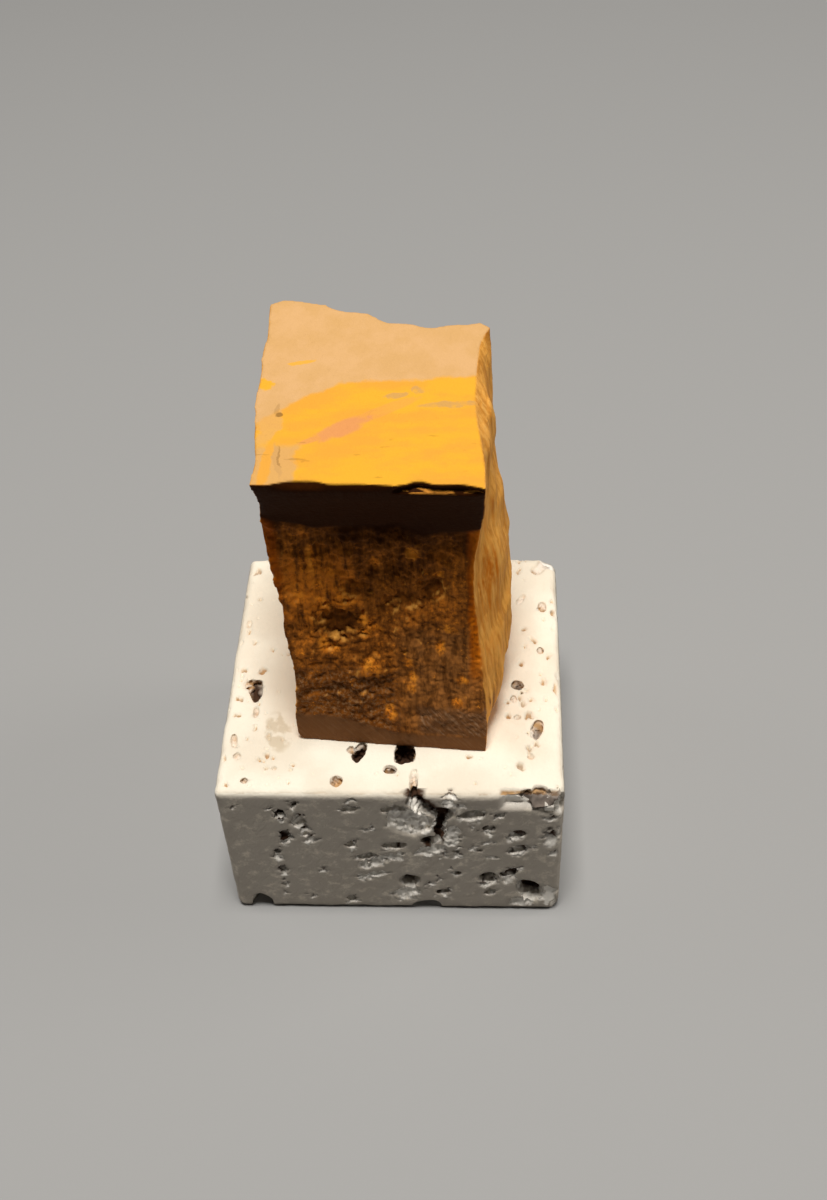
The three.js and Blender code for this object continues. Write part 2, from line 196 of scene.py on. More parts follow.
# The crack of the front, from its mouth at the top edge down: x, z, half width.
CRACK = [
    (2.9, 24.2, 1.1),
    (3.3, 22.6, 1.1),
    (4.9, 21.3, 0.9),
    (6.0, 19.9, 1.0),
    (5.9, 18.2, 0.45),
    (5.7, 16.4, 0.35),
    (5.2, 14.9, 0.8),
    (4.2, 14.6, 0.8),
]

# Freshly broken rock on the front, white all over: x, z, half width, half height, depth.
BREAKS = [
    (1.6, 18.9, 2.0, 1.3, 0.7),
    (2.7, 19.9, 0.9, 1.3, 0.4),
    (4.3, 17.6, 1.4, 1.5, 0.4),
    (7.0, 15.9, 1.1, 2.0, 0.5),
    (4.7, 12.9, 2.0, 0.9, 0.6),
    (7.0, 22.1, 0.9, 0.8, 0.4),
    (-0.4, 11.2, 1.7, 0.8, 0.6),
    (-2.7, 9.8, 1.8, 0.9, 0.7),
    (-2.6, 7.5, 1.8, 0.6, 0.5),
    (1.4, 3.5, 1.7, 1.3, 0.7),
    (15.6, 1.9, 1.9, 1.0, 0.8),
    (18.6, 3.4, 1.0, 2.2, 0.5),
]

# Front pits, with painted shade above and painted light along the lower lip: x, z, half width, half
# height, depth.
PITS = [
    (-11.0, 21.5, 0.5, 0.9, 0.7),
    (-12.7, 19.6, 0.6, 1.0, 0.8),
    (-10.7, 18.5, 0.7, 1.2, 1.0),
    (-10.2, 16.6, 0.6, 0.9, 0.7),
    (-9.6, 15.0, 0.7, 0.8, 0.6),
    (-12.6, 15.1, 0.7, 1.5, 1.0),
    (-14.0, 11.6, 0.5, 1.3, 0.7),
    (-13.4, 8.1, 0.5, 1.0, 0.7),
    (-13.4, 5.5, 0.35, 0.5, 0.5),
    (-13.7, 3.2, 0.35, 0.5, 0.4),
    (-8.6, 8.5, 0.6, 0.5, 0.4),
    (-10.4, 2.6, 0.6, 0.5, 0.4),
    (-14.0, 21.0, 0.4, 0.35, 0.4),
    (-17.8, 21.4, 0.3, 0.3, 0.4),
    (-4.5, 22.4, 0.7, 0.35, 0.4),
    (-4.6, 20.8, 0.7, 0.6, 0.5),
    (-5.9, 20.9, 0.3, 0.35, 0.4),
    (0.4, 20.9, 1.2, 0.6, 0.6),
    (-4.8, 13.6, 0.55, 0.9, 0.7),
    (-2.7, 17.1, 0.9, 0.35, 0.4),
    (0.3, 13.6, 1.3, 0.8, 1.0),
    (-3.2, 11.4, 1.2, 0.7, 0.8),
    (-5.4, 1.9, 0.6, 0.9, 0.7),
    (6.9, 23.7, 0.6, 0.5, 0.6),
    (9.2, 19.7, 1.5, 1.0, 0.8),
    (8.2, 21.5, 0.7, 0.45, 0.4),
    (12.4, 20.0, 0.7, 0.45, 0.5),
    (11.3, 16.9, 0.6, 0.9, 0.7),
    (14.6, 15.8, 0.9, 1.0, 0.8),
    (9.7, 17.3, 0.45, 0.35, 0.4),
    (11.4, 14.5, 0.6, 0.35, 0.4),
    (15.0, 12.9, 1.1, 0.8, 0.8),
    (16.7, 13.8, 0.4, 0.4, 0.5),
    (8.0, 13.4, 0.45, 0.4, 0.4),
    (9.7, 13.4, 0.5, 0.35, 0.4),
    (12.1, 11.5, 0.7, 0.45, 0.4),
    (6.0, 11.8, 0.45, 0.45, 0.4),
    (7.6, 11.9, 0.6, 0.4, 0.4),
    (6.5, 9.0, 0.55, 0.55, 0.5),
    (7.7, 7.7, 0.6, 0.6, 0.5),
    (13.6, 7.3, 0.9, 1.1, 0.8),
    (14.5, 9.2, 0.6, 0.4, 0.4),
    (11.2, 5.8, 1.0, 0.7, 0.6),
    (11.4, 3.8, 0.5, 0.6, 0.6),
    (5.8, 3.6, 0.8, 0.55, 0.5),
    (4.4, 5.7, 0.5, 0.35, 0.4),
    (5.3, 6.9, 0.4, 0.35, 0.4),
    (18.7, 15.6, 1.0, 1.6, 0.8),
    (18.9, 12.3, 0.5, 0.7, 0.5),
    (18.4, 19.8, 0.9, 0.6, 0.5),
]

# The flake gone from the front's top right corner: where it starts in x, in z and from the edges
# inwards, each from intact to gone. The small recess beside it: x, z, half width, half height.
CHIP_LEFT = (12.3, 13.5)
CHIP_FOOT = (20.3, 21.3)
CHIP_REACH = (3.0, 2.3)
RECESS = (16.7, 23.3, 1.5, 0.8)


def in_crack(point):
    """1 in the crack of the front and 0 beside it."""
    best = 0.0
    for (x0, z0, wide0), (x1, z1, wide1) in zip(CRACK, CRACK[1:]):
        along = Vector((x1 - x0, z1 - z0))
        offset = Vector((point.x - x0, point.z - z0))
        share = min(1.0, max(0.0, offset.dot(along) / along.length_squared))
        gap = (offset - share * along).length
        best = max(best, smoothstep(1.1, 0.8, gap / (wide0 + share * (wide1 - wide0))))
    return best


def spot_reach(point, x, z, half_width, half_height):
    """How far out in a spot a point lies, 1 at its rim, and how high up in it, from -1 to 1."""
    up = (point.z - z - 0.25 * (point.x - x)) / half_height
    return math.hypot((point.x - x) / half_width, up), max(-1.0, min(1.0, up))


def recessed(point, ragged_z):
    """1 in the small recess of the front's top right corner and 0 outside it."""
    x, z, half_width, half_height = RECESS
    reach = math.hypot((point.x - x) / half_width, (ragged_z - z) / half_height)
    return smoothstep(1.3, 0.9, reach)


def front_marks(point):
    """How deep the front is broken at a point, in millimetres, how white it is from breaks and
    painted light in pits, and how much painted shade it gets.
    """
    warped = point + 0.8 * noise.noise_vector(point / 0.9) + 0.4 * noise.noise_vector(point / 0.35)
    # Painted shade: the crack and the small recess, and below, the pits' upper parts.
    dark = in_crack(point + 0.6 * (warped - point))
    white = deepest = 0.0
    for *spot, depth in BREAKS:
        reach, up = spot_reach(warped, *spot)
        broken_out = smoothstep(1.1, 0.85, reach)
        white = max(white, broken_out)
        deepest = max(deepest, depth * broken_out * (0.55 + 0.45 * up))
    for *spot, depth in PITS:
        reach, up = spot_reach(warped, *spot)
        if reach < 1.2:
            open_pit = smoothstep(1.2, 0.8, reach)
            white = max(white, open_pit)
            dark = max(dark, open_pit * smoothstep(-0.1, 0.35, up))
            deepest = max(deepest, depth * open_pit * (0.5 + 0.5 * up))
    recess = recessed(point, warped.z)
    chip = smoothstep(*CHIP_LEFT, point.x) * smoothstep(*CHIP_FOOT, point.z)
    chip *= smoothstep(*CHIP_REACH, wear_room(point))
    chipped = chip * (0.8 + 0.3 * splinters(point, across=2.5, up=2.5, seed=2.5)) + 0.5 * recess
    return max(deepest, chipped), max(white, 0.6 * chip), max(dark, 0.85 * recess)


def marks(point):
    """The same three measures on any face."""
    if on_front(point) or (by_front(point) and inside(point) > SMALL_PORE_DEPTH):
        return front_marks(point)
    deep = pore_depth(point)
    return deep, smoothstep(0.1, 0.5, deep) * (not on_top(point)), 0.0


# Freshly broken rock is gritty from here inwards: nearer the block's edges it is worn smooth.
GRIT_ROOM = 2


def tumbled(point, normal, broken_in, white):
    """The place that a point of the sawn block has after wear: pores, breaks and a worn rim."""
    depth = inside(point)
    pore = smoothstep(0.25, 0.9, depth)
    wander = 0.3 * noise.noise_vector(point / 0.9) + 0.2 * noise.noise_vector(point / 0.4)
    dimple = smoothstep(0.2, 0.55, noise.noise(point / 1.4 + Vector((7, 3, 1))))
    worn = 0.06 * (0.5 + 0.5 * noise.noise(point / 7)) + 0.03 * dimple
    worn += 0.02 * abs(noise.noise(point / 0.5))
    edge = smoothstep(1.2, 0.3, wear_room(point))
    worn += 0.12 * edge * (0.5 + noise.noise(point / 1.9))
    sunk = (1 - pore) * broken_in * (1 if on_front(point) else 1 - 0.85 * edge)
    rough = white * (wear_room(point) > GRIT_ROOM)
    grit = 0.35 * rough * noise.noise(point / 0.5) + 0.2 * rough * noise.noise(point / 0.25)
    inward = worn * (1 - 0.7 * pore) + sunk + grit
    moved = point - normal * inward + pore * wander
    moved.x = max(-HALF_WIDTH, min(HALF_WIDTH, moved.x))
    moved.y = max(-HALF_DEPTH, min(HALF_DEPTH, moved.y))
    moved.z = max(0.0, min(BLOCK_TOP, moved.z))
    return moved


def under_top(point):
    """How far down in a pore of the top a point lies, and 0 anywhere else."""
    return BLOCK_TOP - point.z if point.z > BLOCK_TOP - inside(point) - 0.05 else 0


# Heights in millimetres up to which the foot keeps its sawn edges and stays flat, and depths from
# which a cavity gets painted shade. The front's cavities are wider, so that light reaches further in.
SAWN_FOOT = 0.5
FLAT_FOOT = 0.15
DARK_FROM = 0.6
FRONT_DARK_FROM = 1.1
DARK_WITHIN = 0.8

# One fixed pattern for the ragged outlines of the pits and the cavities.
RAGGED_PATTERN = 1
noise.seed_set(RAGGED_PATTERN)

block = fine_copy(BLOCK, "travertine", BLOCK_VOXEL)
relax(block, 2, lambda point: point.z > SAWN_FOOT)
walls = points_and_normals(block)
sunk, white, dark = [], [], []
for point, _ in walls:
    deep, pale, shaded = marks(point)
    sunk.append(deep)
    # White in breaks, and painted light in the pits and in the pores of the sides, whose lower walls
    # catch the light.
    white.append(max(pale, smoothstep(0.2, 0.5, inside(point))))
    # Cavities past these depths get painted shade.
    first = FRONT_DARK_FROM if by_front(point) else DARK_FROM
    dark.append(max(shaded, smoothstep(first, first + DARK_WITHIN, inside(point))))
place_verts(block, [
    tumbled(point, normal, deep, pale) if point.z > FLAT_FOOT else point
    for (point, normal), deep, pale in zip(walls, sunk, white)
])
store(block, "white", white)
store(block, "dark", dark)
thin_out(block, MOST_TRIANGLES)
store(block, "under_top", [under_top(vert.co / MM) for vert in block.data.vertices])


def paint(red, green, blue):
    """A screen colour, 0 to 255, as the linear colour that a shader takes."""
    screen = (red / 255, green / 255, blue / 255)
    linear = [((c + 0.055) / 1.055) ** 2.4 if c > 0.04045 else c / 12.92 for c in screen]
    return (*linear, 1)


class Shade:
    """A socket of a material's node tree. Sums and products of sockets add their Math nodes."""

    def __init__(self, tree, socket=None):
        self.tree = tree
        self.socket = socket

    def node(self, kind, settings=None, inputs=None, output=0):
        """Adds a node, sets it, fills or links its inputs, and gives one of its outputs."""
        made = self.tree.nodes.new(kind)
        for name, value in (settings or {}).items():
            setattr(made, name, value)
        for name, value in (inputs or {}).items():
            if isinstance(value, Shade):
                self.tree.links.new(value.socket, made.inputs[name])
            else:
                made.inputs[name].default_value = value
        return Shade(self.tree, made.outputs[output])

    def math(self, operation, *values):
        """The result of a Math node on sockets and numbers."""
        return self.node("ShaderNodeMath", {"operation": operation}, dict(enumerate(values)))

    def __add__(self, other):
        return self.math("ADD", self, other)

    def __radd__(self, other):
        return self.math("ADD", other, self)

    def __sub__(self, other):
        return self.math("SUBTRACT", self, other)

    def __rsub__(self, other):
        return self.math("SUBTRACT", other, self)

    def __mul__(self, other):
        return self.math("MULTIPLY", self, other)

    def __rmul__(self, other):
        return self.math("MULTIPLY", other, self)

    def __or__(self, other):
        """The larger of two values."""
        return self.math("MAXIMUM", self, other)

    def step(self, low, high):
        """0 at low, 1 at high and smooth between. Low may be the larger of the two."""
        return self.node(
            "ShaderNodeMapRange",
            {"interpolation_type": "SMOOTHSTEP"},
            {"Value": self, "From Min": low, "From Max": high},
        )

    def mix(self, first, second):
        """The first colour where this value is 0, and the second where it is 1."""
        return self.node("ShaderNodeMix", {"data_type": "RGBA"}, {0: self, 6: first, 7: second}, 2)

    def noise(self, scale, detail=4, roughness=0.55):
        """Noise read at this place, with scale cells to a metre."""
        return self.node(
            "ShaderNodeTexNoise",
            {},
            {"Vector": self, "Scale": scale, "Detail": detail, "Roughness": roughness},
        )

    def scaled(self, x, y, z):
        """This place with its axes scaled, so that a pattern is drawn out along one of them."""
        return self.node("ShaderNodeMapping", {}, {"Vector": self, "Scale": (x, y, z)})

    def turned(self, degrees):
        """This place turned about the front-to-back axis."""
        rotation = (0, math.radians(degrees), 0)
        return self.node("ShaderNodeMapping", {}, {"Vector": self, "Rotation": rotation})


def new_material(name, roughness, specular):
    """A material, its shader, and the object's own coordinates."""
    material = bpy.data.materials.new(name)
    material.use_nodes = True
    tree = material.node_tree
    shader = tree.nodes["Principled BSDF"]
    shader.inputs["Roughness"].default_value = roughness
    shader.inputs["Specular IOR Level"].default_value = specular
    return material, shader, Shade(tree).node("ShaderNodeTexCoord", {}, {}, "Object")


def attribute(shade, name):
    """The number that the mesh keeps under a name."""
    return shade.node("ShaderNodeAttribute", {"attribute_name": name}, {}, "Fac")


def link(shade, shader, name):
    """Feeds a named input of a shader."""
    shade.tree.links.new(shade.socket, shader.inputs[name])


def bump(shader, height, distance):
    """Fine relief from a height field that is distance metres tall."""
    relief = height.node("ShaderNodeBump", {}, {"Height": height, "Distance": distance})
    link(relief, shader, "Normal")


def dress(piece, material, node):
    """Gives a piece its material and its place in the frame, and hides the solid that it stands for.
    """
    piece.data.materials.clear()
    piece.data.materials.append(material)
    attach(piece, "root")
    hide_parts(node)


def millimetres(place):
    """The X, Y and Z of a place as three values in millimetres."""
    parts = (place.node("ShaderNodeSeparateXYZ", {}, {"Vector": place}, axis) for axis in "XYZ")
    return tuple(part * 1000 for part in parts)


def ellipse(across, up, centre, half_length, half_width, turn=0.0):
    """1 inside an ellipse, 0 outside it. The turn is in degrees, from across towards up."""
    cosine, sine = math.cos(math.radians(turn)), math.sin(math.radians(turn))
    east = across - centre[0]
    north = up - centre[1]
    along = (east * cosine + north * sine) * (1 / half_length)
    beside = (north * cosine - east * sine) * (1 / half_width)
    return 1 - (along * along + beside * beside).step(0.55, 1.35)


CREAM = paint(230, 219, 200)
WARM_WHITE = paint(243, 235, 218)
# Painted shade: the sides are greyer than the top because less light falls on them.
SHADED_SIDE_GREY = paint(160, 151, 140)
# Freshly broken white, also painted light on the lit lower walls of pits and pores.
BROKEN_AND_LIT_WHITE = paint(246, 240, 230)
TAN = paint(186, 148, 104)
DUST = paint(206, 190, 164)
# Painted shade of the deep cavities, the crack and the pits' upper parts.
CAVITY_SHADE_BROWN = paint(70, 48, 34)
BLOCK_RELIEF = 0.11 * MM
SAW_ANGLE = -35

material, shader, place = new_material("tumbled_travertine", roughness=0.9, specular=0.15)
x, y, z = millimetres(place)

# Cream and warm white on the top; on the sides a greyer skin, painted shade because less light falls
# on them, with cream flecks.
top_skin = place.noise(90, 5).step(0.35, 0.65).mix(CREAM, WARM_WHITE)
on_side = (BLOCK_TOP - z).step(0.3, 1.0)
skin = (0.9 * on_side).mix(top_skin, SHADED_SIDE_GREY)
flecks = place.noise(700, 5, 0.7).step(0.5, 0.7)
skin = (0.5 * on_side * flecks).mix(skin, CREAM)

# White where the rock is freshly broken, and painted light in the pits and in the pores of the sides;
# tan in the pores of the top, and a dusty spot by its left edge.
mottle = place.noise(420, 5, 0.6)
skin = ((BLOCK_TOP - z).step(0.1, 0.5) * attribute(place, "white")).mix(skin, BROKEN_AND_LIT_WHITE)
top_stain = attribute(place, "under_top").step(0.12, 0.7) * (0.35 + 0.65 * mottle.step(0.4, 0.58))
skin = top_stain.mix(skin, TAN)
ragged_x, ragged_y = x + 3 * (mottle - 0.5), y + 3 * (mottle - 0.5)
dusty = ellipse(ragged_x, ragged_y, (-13.3, -10.0), half_length=1.5, half_width=3.0, turn=12)
dusty = dusty * (z - BLOCK_TOP).step(-0.6, -0.3) * mottle.step(0.38, 0.52)
skin = (0.8 * dusty).mix(skin, DUST)
# Painted shade: dark brown in the deep cavities, the crack, the pits' upper parts and the small
# recess.
link(attribute(place, "dark").mix(skin, CAVITY_SHADE_BROWN), shader, "Base Color")

saw_marks = place.turned(SAW_ANGLE).scaled(3.2, 1, 0.16).noise(420, 2)
bump(shader, place.noise(2600, 6, 0.7) + 0.5 * place.noise(800, 4) + 0.7 * saw_marks, BLOCK_RELIEF)
dress(block, material, BLOCK)

# Tiger's eye: one chunk broken out of a vein, standing on the block. Its silky golden quartz has
# upright fibres, so the sides are splintery. The flat top and foot are the vein's walls, dull ochre
# jasper. The front is hollow under an overhanging ledge, with a smooth dark band along its foot.

STONE = "tigers_eye"
STONE_VOXEL = 0.2 * MM
STONE_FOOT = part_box(STONE)[0].z / MM

# The plane of the top face: height and y of its front edge, and how it rises towards the back.
TOP_FRONT = 64.3
TOP_FRONT_Y = -11.6
TOP_SLOPE = math.tan(math.radians(5))

# Millimetres down from the plane of the top: the skin of the top wall, and its ragged rim.
WALL_SKIN = 0.45
WALL_RIM = 2.2

# Millimetres up from the foot: what stays flat, and what keeps its sharp edges.
FOOT_SKIN = 0.12
FOOT_RIM = 4.5

# Heights of the ledge's lower edge and of the band's upper edge, and one between the two.
LEDGE_FOOT = 54.4
BAND_TOP = 28.4
MIDWAY_UP = 45

# Hollows broken into the front: x, z, half width, half height, depth.
HOLLOWS = [
    (-3.5, 46.2, 1.3, 1.6, 0.7),
    (1.3, 49.4, 2.0, 1.3, 0.6),
    (5.6, 47.2, 1.3, 1.6, 0.8),
    (2.4, 44.9, 2.4, 0.9, 0.6),
    (-5.0, 41.6, 2.3, 2.2, 1.2),
    (3.0, 40.6, 1.0, 2.0, 0.5),
    (-1.6, 33.6, 1.4, 1.6, 0.5),
]

# Painted glints on the front, where fibre ends catch the light: x, z, half width, half height.
GLINTS = [
    (-7.3, 50.9, 0.5, 1.7),
    (-7.4, 49.2, 0.6, 0.4),
    (-5.6, 48.9, 0.5, 0.6),
    (-6.9, 47.3, 0.7, 0.8),
    (-8.9, 46.1, 0.5, 1.0),
    (-6.8, 44.9, 0.9, 1.0),
    (-4.4, 45.7, 0.6, 0.8),
    (-4.0, 44.6, 0.9, 0.7),
    (3.4, 51.7, 0.7, 1.1),
    (-0.6, 49.8, 0.7, 0.9),
    (5.9, 48.9, 0.6, 0.4),
    (7.1, 41.4, 0.8, 0.7),
    (6.1, 38.9, 0.5, 0.9),
    (8.5, 34.6, 0.7, 0.7),
    (7.8, 31.5, 0.6, 0.6),
    (2.5, 36.8, 0.6, 1.0),
    (2.9, 34.2, 0.45, 1.6),
    (-2.0, 41.9, 1.0, 0.9),
    (-1.2, 40.8, 0.9, 0.6),
    (-2.2, 40.3, 0.8, 0.7),
    (-6.8, 39.2, 0.5, 1.3),
    (-5.5, 38.2, 0.5, 0.6),
    (-1.6, 36.2, 1.2, 1.1),
    (0.2, 29.4, 0.8, 1.0),
]


def below_top(point):
    """Millimetres down from the plane of the top face."""
    return TOP_FRONT + TOP_SLOPE * (point.y - TOP_FRONT_Y) - point.z


def ledge_foot(x):
    """Height of the lower edge of the ledge along the front: it is lowest near the middle."""
    return LEDGE_FOOT + 0.017 * (x - 1.5) ** 2


def band_top(x):
    """Height of the smooth band along the foot: it drops to the right, under a scratched facet."""
    return BAND_TOP - 2.2 * smoothstep(-7, 2, x)


def spot_on_front(point, x, z, half_width, half_height):
    """1 in the middle of a ragged spot of the front, and 0 past its rim."""
    ragged = 1 + 0.6 * noise.noise(point / 0.9) + 0.3 * noise.noise(point / 0.4)
    reach = math.hypot((point.x - x) / half_width, (point.z - z) / half_height) * ragged
    return smoothstep(1.35, 0.3, reach)


def hollowed(point):
    """How deep the hollows of the front go at a point, in millimetres."""
    return sum(depth * spot_on_front(point, *spot) for *spot, depth in HOLLOWS)


def calm(point):
    """How smooth the front is: 1 on the ledge and on the band, 0 on the hackly face between."""
    ragged = 0.5 * noise.noise(point / 2.2)
    ledge = smoothstep(-0.5, 0.6, point.z + ragged - ledge_foot(point.x))
    band = smoothstep(0.3, -0.3, point.z + 0.5 * ragged - band_top(point.x))
    return max(ledge, band)


def broken(point, normal):
    """How far the broken surface stands out, in millimetres."""
    front = smoothstep(0.35, 0.75, -normal.y)
    rim = smoothstep(0.1, 1.4, below_top(point)) * smoothstep(0.2, 1.2, point.z - STONE_FOOT)
    fibre = noise.noise(Vector((point.x / 0.55, point.y / 0.55, point.z / 7)))
    ridge = noise.noise(Vector((point.x / 1.7, point.y / 1.7, point.z / 12 + 3)))
    side = 0.06 * fibre + 0.15 * ridge + 0.07 * splinters(point, across=1.7, up=6, seed=0.5)
    crumbs = splinters(point, across=0.6, up=0.6, seed=5.5)
    lumps = noise.noise(point / 1.5 + Vector((4, 4, 4)))
    knobs = noise.noise(point / 0.7 + Vector((8, 1, 2)))
    crumbly = smoothstep(36, 33, point.z) * smoothstep(1, -2, point.x)
    plainer = 0.6 * smoothstep(0, 3, point.x) * smoothstep(42, 39, point.z)
    hackly = smoothstep(9.5, 5.5, point.x) * (1 - plainer)
    face = 0.12 * fibre + 0.16 * ridge + hackly * (0.36 * lumps + 0.22 * knobs)
    face += 0.16 * crumbly * crumbs
    face += 0.16 * noise.noise(point / 0.4) - 0.7 * hollowed(point)
    return rim * (front * (1 - calm(point)) * face + (1 - front) * side)


def flaked(point, normal):
    """1 where slivers have come off under the right part of the top's front edge, and 0 elsewhere."""
    in_rim = WALL_SKIN < below_top(point) < WALL_RIM
    return smoothstep(0.15, 0.5, normal.z) * in_rim * (point.x > 3) * (point.y < -8)


stone = fine_copy(STONE, "rough_tigers_eye", STONE_VOXEL)
relax(stone, 8, lambda point: below_top(point) > WALL_RIM and point.z > STONE_FOOT + FOOT_RIM)
relax(stone, 2, lambda point: True)
moved = []
for point, normal in points_and_normals(stone):
    flat = abs(normal.z) > 0.9 and below_top(point) < 2
    spot = point if flat else point + normal * broken(point, normal)
    spot.z = STONE_FOOT if point.z < STONE_FOOT + FOOT_SKIN else max(spot.z, STONE_FOOT)
    moved.append(spot)
place_verts(stone, moved)
thin_out(stone, MOST_TRIANGLES)
faces = points_and_normals(stone)
store(stone, "top", [smoothstep(0.6, 0.85, n.z) * (below_top(p) < WALL_SKIN) for p, n in faces])
store(stone, "front", [smoothstep(0.3, 0.75, -n.y) for p, n in faces])
store(stone, "sunken", [min(1.0, hollowed(p)) for p, _ in faces])
store(stone, "glint", [max(spot_on_front(p, *spot) for spot in GLINTS) for p, _ in faces])
store(stone, "calm", [calm(p) for p, _ in faces])
store(stone, "flake", [flaked(p, n) for p, n in faces])

BEIGE = paint(204, 160, 104)
LIGHT_BEIGE = paint(210, 166, 114)
OCHRE = paint(222, 157, 57)
BRIGHT_OCHRE = paint(226, 166, 50)
ROSE = paint(212, 142, 90)
ASH = paint(192, 148, 92)
PALE_CORNER = paint(204, 158, 98)
WALL_UMBER = paint(120, 84, 36)
# Brown of the dark grain, and painted shade in the front's hollows.
GRAIN_AND_HOLLOW_SHADE_BROWN = paint(74, 38, 10)
DARK_BROWN = paint(98, 54, 18)
CHESTNUT = paint(178, 106, 38)
UMBER = paint(112, 70, 32)
PALE_UMBER = paint(164, 108, 56)
HONEY = paint(236, 136, 36)
# Painted highlight gold of the glints and sparks.
GLINT_GOLD = paint(255, 160, 50)
DEEP_AMBER = paint(164, 78, 4)
AMBER = paint(214, 116, 14)
SIDE_GOLD = paint(244, 176, 82)
SIDE_BROWN = paint(208, 138, 54)
PALE_GOLD = paint(236, 184, 104)
BAND_BROWN = paint(118, 78, 46)
SCRATCH = paint(170, 136, 104)
# Dark brown of the ledge, also painted shadow under it and between the slivers.
LEDGE_AND_SHADOW_BROWN = paint(50, 22, 3)
GREY_CRUMB = paint(150, 112, 76)
STONE_RELIEF = 0.13 * MM
SCRATCH_ANGLE = 40

material, shader, place = new_material("tigers_eye", roughness=0.6, specular=0.03)
x, y, z = millimetres(place)
cloud = place.noise(420, 5, 0.6) - 0.5
wavy_x = x + 4 * cloud
wavy_y = y + 1.8 * cloud

# Top wall: beige behind and golden ochre in front of a border that turns forward on the left.
turn_forward = 0.62 * ((-3.8 - x) | 0) - 0.05 * x
golden = (3.0 - turn_forward - wavy_y).step(-0.3, 0.35)
beige = place.noise(260, 6, 0.65).step(0.35, 0.65).mix(BEIGE, LIGHT_BEIGE)
clouds = place.scaled(1, 2.6, 1).noise(130, 5, 0.6).step(0.38, 0.62)
ochre = clouds.mix(OCHRE, BRIGHT_OCHRE)
ochre = (0.8 * ellipse(wavy_x, wavy_y, (8.0, 2.0), 3.0, 1.3)).mix(ochre, BRIGHT_OCHRE)

# In the ochre, a rose lens with its tail and haze, and ash streaks.
haze = ellipse(wavy_x + 2 * cloud, wavy_y + 2 * cloud, (0.6, -1.4), 3.8, 0.7, 28)
lens = ellipse(wavy_x + 2 * cloud, wavy_y + cloud, (-3.2, -3.8), 3.2, 1.1, 28)
tail = ellipse(wavy_x, wavy_y, (-6.2, -5.4), 1.9, 0.35, 25)
ochre = (0.85 * (lens | 0.7 * tail | 0.35 * haze)).mix(ochre, ROSE)
streaks = ellipse(wavy_x, wavy_y, (1.9, 0.8), 1.1, 0.5, 12)
streaks = streaks | ellipse(wavy_x, wavy_y, (4.3, 1.7), 0.9, 0.6)
streaks = streaks | ellipse(wavy_x, wavy_y, (7.4, -0.6), 3.4, 0.45, 4)
broken_up = 0.3 + 0.7 * place.noise(900, 4).step(0.36, 0.56)
ochre = (0.75 * streaks * broken_up).mix(ochre, ASH)
wall = golden.mix(beige, ochre)

# Over both, a pale left corner with an ochre stripe and thin shadows, ochre dabs and small pits.
smear = ellipse(wavy_x, wavy_y, (-10.9, -3.0), 1.2, 3.2, -8)
wall = (0.55 * smear).mix(wall, BEIGE)
corner = (-7.6 - wavy_x).step(-0.3, 0.5) * (-6.0 - wavy_y).step(-0.4, 0.8)
wall = (0.85 * corner).mix(wall, PALE_CORNER)
stripe = ellipse(x + 1.5 * cloud, y, (-10.5, -8.8), 0.55, 3.2, -6)
wall = (0.85 * stripe).mix(wall, OCHRE)
shadow_line = ellipse(x + 2 * cloud, y + cloud, (-9.4, -8.2), 0.35, 2.4, 10)
wall = (0.6 * shadow_line).mix(wall, ASH)
shadow_edge = ellipse(x + 2 * cloud, y + cloud, (-9.2, -7.6), 0.14, 1.5, 10)
wall = (0.4 * shadow_edge).mix(wall, WALL_UMBER)
edge_dab = ellipse(wavy_x, wavy_y, (-11.6, 2.6), 0.8, 1.0)
long_dab = 0.8 * ellipse(wavy_x, wavy_y, (-8.3, 5.7), 1.5, 0.3, 10)
wall = (edge_dab | long_dab).mix(wall, BRIGHT_OCHRE)
pit = ellipse(x + cloud, y + cloud, (-9.8, -1.9), 0.4, 0.32)
pit = pit | 0.35 * ellipse(x + cloud, y + cloud, (-10.1, -1.1), 0.25, 0.8, -10)
scratches = place.scaled(0.5, 2.4, 1).noise(700, 3).step(0.66, 0.74) * (-1 - y).step(0, 5)
wall = (0.7 * pit | 0.3 * scratches).mix(wall, WALL_UMBER)

# Front: upright fibres and a fine grain, brown with honey.
upright = place.scaled(1, 1, 0.15)
fibres = upright.noise(1500, 5, 0.6)
patches = place.scaled(1, 1, 0.5).noise(300, 5, 0.62)
grain = place.noise(2300, 4, 0.65)
front_colour = (0.5 * fibres + 0.5 * patches).step(0.38, 0.62).mix(DARK_BROWN, CHESTNUT)
honey = patches.step(0.52, 0.66) * fibres.step(0.38, 0.6)
front_colour = (0.4 * honey).mix(front_colour, HONEY)
front_colour = (0.5 * grain.step(0.5, 0.38)).mix(front_colour, GRAIN_AND_HOLLOW_SHADE_BROWN)
front_colour = (0.4 * grain.step(0.56, 0.68)).mix(front_colour, HONEY)

# Its parts: a plain lower right, a bright upper left, a crumbly lower left, painted glints where
# fibre ends catch the light, and painted shade in the hollows.
plain = (x + 3 * cloud).step(0, 3) * (43 - z).step(0, 3)
front_colour = (0.65 * plain).mix(front_colour, fibres.step(0.38, 0.6).mix(UMBER, PALE_UMBER))
bright = ellipse(x + 4 * cloud, z + 4 * cloud, (-6.8, 46.8), 4.2, 6.0) * fibres.step(0.34, 0.56)
front_colour = (0.5 * bright).mix(front_colour, HONEY)
crumbly = (36.5 - z + 3 * cloud).step(0, 3) * (2 - x + 3 * cloud).step(0, 3)
front_colour = (0.6 * crumbly).mix(front_colour, DARK_BROWN)
speckle = place.noise(2700, 5, 0.7).step(0.47, 0.62)
front_colour = (0.75 * crumbly * speckle).mix(front_colour, GREY_CRUMB)
